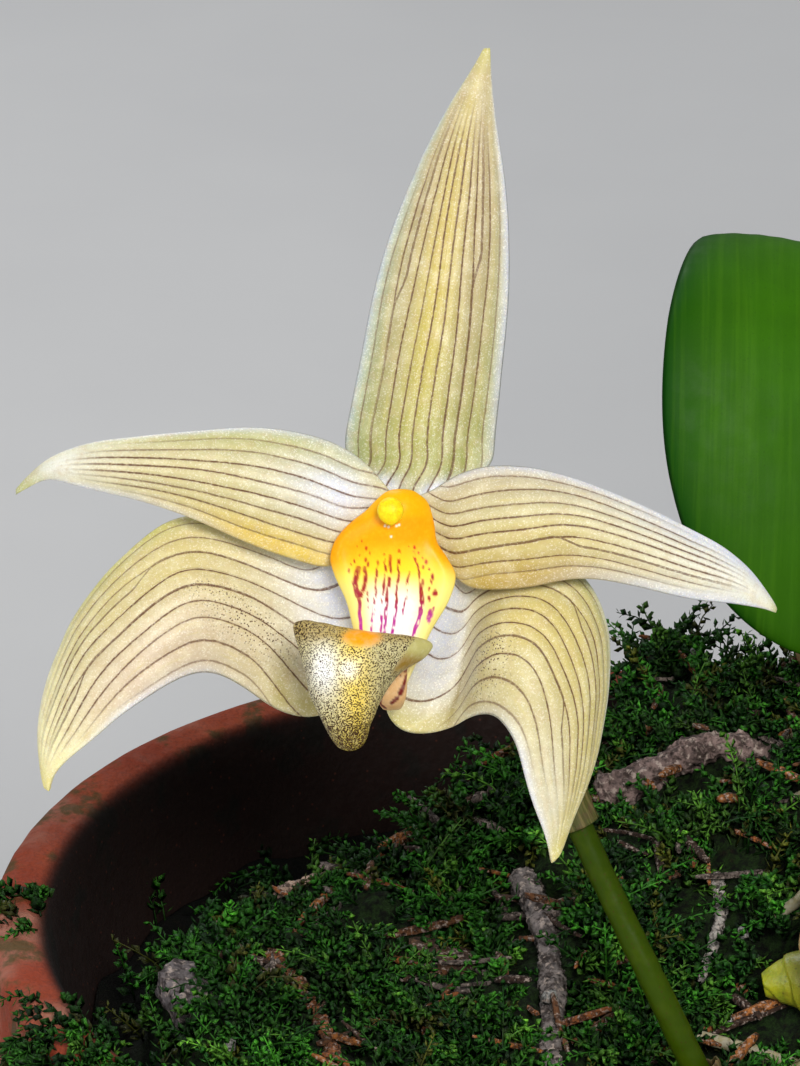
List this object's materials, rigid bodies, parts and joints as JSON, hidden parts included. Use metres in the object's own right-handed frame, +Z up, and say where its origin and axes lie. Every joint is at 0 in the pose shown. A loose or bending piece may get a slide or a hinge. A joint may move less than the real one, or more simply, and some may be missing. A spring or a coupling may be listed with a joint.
{
  "type": "potted orchid",
  "caption": "Potted Bulbophyllum lobbii: a pale yellow, brown-veined, star-shaped flower over a mossy clay pot of pseudobulbs and leathery leaves",
  "frame": {"origin": "centre of the pot's foot, on the surface it stands on", "axes": "+Z up, the flower faces -Y and 25 degrees up, +X to the viewer's right, where the pseudobulbs stand"},
  "size_m": [0.2243, 0.1945, 0.2907],
  "materials": {
    "clay": "unglazed, matt",
    "mix": "rough bark",
    "moss": "leafy, matt",
    "rhizome": "scaly, matt",
    "bulb": "waxy",
    "leaf": "leathery, satin",
    "stalk": "smooth, satin",
    "sheath": "dry, papery",
    "column": "waxy",
    "anther": "waxy",
    "lip": "fleshy, satin",
    "tepal": "thin, crystalline petal",
    "bark": "rough bark",
    "twig": "dry wood"
  },
  "bodies": {
    "root": {"pot": "clay", "bark_mix": "mix", "moss": "moss", "rhizome": "rhizome", "pseudobulb_1": "bulb", "pseudobulb_2": "bulb", "pseudobulb_3": "bulb", "pseudobulb_4": "bulb", "new_shoot": "bulb", "leaf_front": "leaf", "leaf_right": "leaf", "leaf_upright": "leaf", "leaf_arching": "leaf", "scape": "stalk", "ovary": "stalk", "sheath_lower": "sheath", "sheath_upper": "sheath", "floral_bract": "sheath", "column": "column", "anther_cap": "anther", "lip": "lip", "sepal_dorsal": "tepal", "petal_left": "tepal", "petal_right": "tepal", "sepal_lateral_left": "tepal", "sepal_lateral_right": "tepal", "stick_right": "bark", "stick_front": "bark", "twig_front": "bark", "twig_left": "twig", "twig_pale": "twig", "bark_chip_front": "bark", "bark_chip_left": "bark", "bark_chip_back": "bark", "bark_chip_middle": "bark"}
  },
  "joints": []
}
